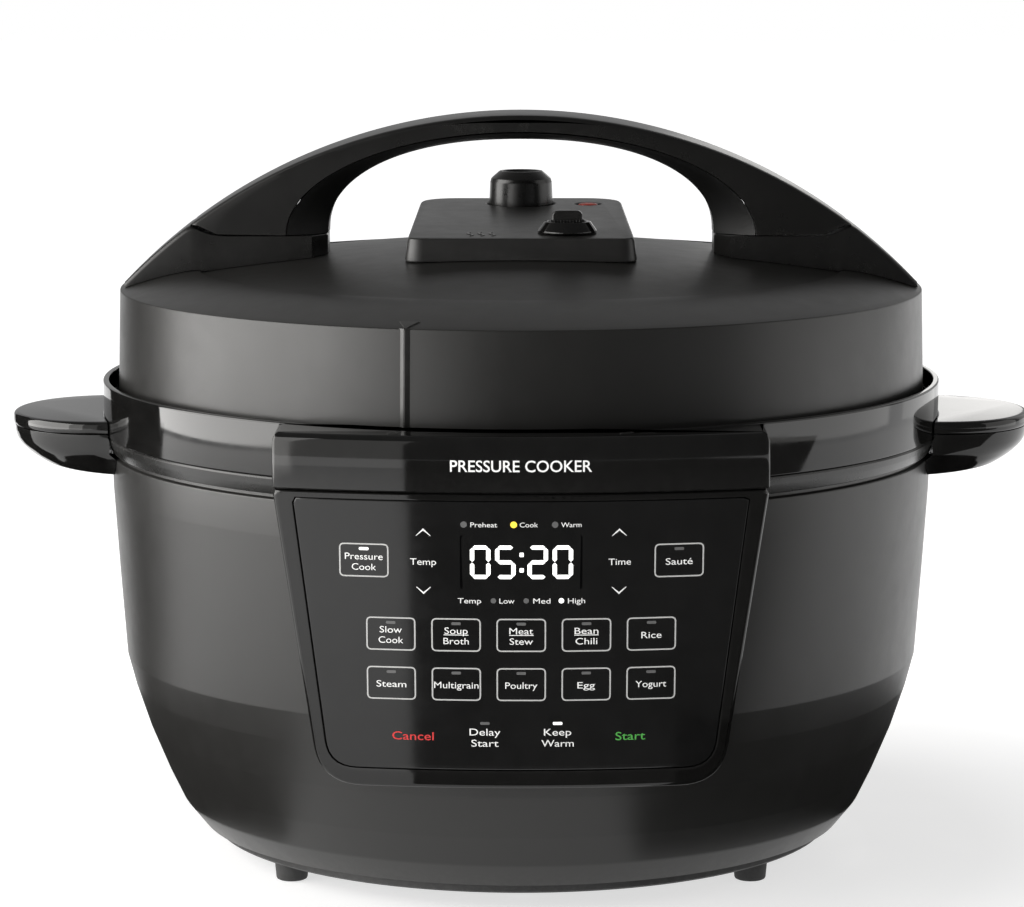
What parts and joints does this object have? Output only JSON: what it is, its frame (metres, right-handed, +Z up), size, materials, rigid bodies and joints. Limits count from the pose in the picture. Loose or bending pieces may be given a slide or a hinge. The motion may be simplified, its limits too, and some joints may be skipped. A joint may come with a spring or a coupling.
{
  "type": "electric pressure cooker",
  "caption": "Wide electric multi-cooker with twist-lock domed lid, arched carrying handle, side grips, front touch panel, lift-out pot and valve-topped lid",
  "frame": {"origin": "middle of the bounding box in plan, at the level the feet stand on", "axes": "+X to the right as the user faces the panel, -Y towards the user, +Z up; the pot axis stands 7.1 mm behind the origin"},
  "size_m": [0.4338, 0.3698, 0.3124],
  "materials": {
    "matt_black": "fine grain, matt",
    "satin_black": "satin",
    "gloss_black": "polished",
    "handle_black": "semi-matt",
    "liner_black": "matt",
    "panel_black": "smooth touch overlay with white legends",
    "inner_black": "moulded",
    "stainless_steel": "brushed",
    "cast_alloy": "cast and machined",
    "silicone": "translucent white silicone",
    "foot_rubber": "matt",
    "circuit_board": "solder mask",
    "display_black": "dark filter",
    "relay_blue": "moulded",
    "winding_yellow": "taped winding",
    "board_post_grey": "moulded",
    "contact_brass": "plated",
    "fuse_white": "fired body",
    "float_red": "silicone-capped"
  },
  "bodies": {
    "base": {"outer_shell": "matt_black", "shoulder_band": "satin_black", "collar_ring": "gloss_black", "front_brow": "gloss_black", "panel_bezel": "gloss_black", "touch_panel": "panel_black", "control_board": "circuit_board", "display_module": "display_black", "power_board": "circuit_board", "board_post_1": "board_post_grey", "board_post_2": "board_post_grey", "relay": "relay_blue", "transformer": "winding_yellow", "base_plate": "inner_black", "foot_front_left": "foot_rubber", "foot_front_right": "foot_rubber", "foot_rear_right": "foot_rubber", "foot_rear_left": "foot_rubber", "power_inlet": "inner_black", "inlet_pin_1": "contact_brass", "inlet_pin_2": "contact_brass", "inlet_pin_3": "contact_brass", "side_handle_upper_left": "gloss_black", "side_handle_lower_left": "gloss_black", "side_handle_upper_right": "gloss_black", "side_handle_lower_right": "gloss_black", "pot_well": "stainless_steel", "locking_flange": "stainless_steel", "heating_plate": "cast_alloy", "heating_element": "stainless_steel", "heater_post_1": "stainless_steel", "heater_post_2": "stainless_steel", "heater_post_3": "stainless_steel", "sensor_holder": "inner_black", "sensor_spring": "stainless_steel", "thermal_fuse": "fuse_white", "base_screw_1": "stainless_steel", "base_screw_2": "stainless_steel", "base_screw_3": "stainless_steel", "base_screw_4": "stainless_steel"},
    "inner_pot": {"inner_pot": "stainless_steel"},
    "sealing_ring": {"sealing_ring": "silicone"},
    "lid": {"lid_cover": "matt_black", "lid_inner_plate": "stainless_steel", "ring_rack": "stainless_steel", "vent_pipe": "stainless_steel", "vent_pipe_nut": "stainless_steel", "anti_block_shield": "stainless_steel", "lid_handle_arch": "handle_black", "lid_handle_liner": "liner_black", "lid_handle_foot_left": "handle_black", "lid_handle_foot_right": "handle_black", "vent_cover": "matt_black", "release_collar": "gloss_black", "lid_screw_1": "stainless_steel", "lid_screw_2": "stainless_steel"},
    "release_lever": {"release_lever": "handle_black"},
    "steam_valve": {"steam_valve_knob": "satin_black"},
    "float_valve": {"float_pin": "float_red"},
    "temperature_sensor": {"temperature_sensor": "cast_alloy"}
  },
  "joints": [
    {"name": "pot_lift", "type": "slide", "parent": "base", "child": "inner_pot", "axis": [0, 0, 1], "range_m": [0, 0.15]},
    {"name": "lid_lift", "type": "slide", "parent": "inner_pot", "child": "sealing_ring", "axis": [0, 0, 1], "range_m": [0, 0.12]},
    {"name": "lid_turn", "type": "hinge", "parent": "sealing_ring", "child": "lid", "pos_m": [0, 0.0071, 0.217], "axis": [0, 0, 1], "range_deg": [0, 32.5]},
    {"name": "lever_tilt", "type": "hinge", "parent": "lid", "child": "release_lever", "pos_m": [0.0192, -0.0319, 0.26473], "axis": [-1, 0, 0], "range_deg": [0, 8], "stiffness_Nm_per_rad": 0.05},
    {"name": "valve_lift", "type": "slide", "parent": "lid", "child": "steam_valve", "axis": [0, 0, 1], "range_m": [0, 0.003]},
    {"name": "float_rise", "type": "slide", "parent": "lid", "child": "float_valve", "axis": [0, 0, 1], "range_m": [-0.005, 0]},
    {"name": "sensor_press", "type": "slide", "parent": "base", "child": "temperature_sensor", "axis": [0, 0, 1], "range_m": [-0.003, 0], "stiffness_N_per_m": 300, "springref_m": 0.002, "deforming": ["sensor_spring"]}
  ],
  "couplings": [
    {"joint": "lever_tilt", "follows": "valve_lift", "rad_per_m": 46.5}
  ]
}
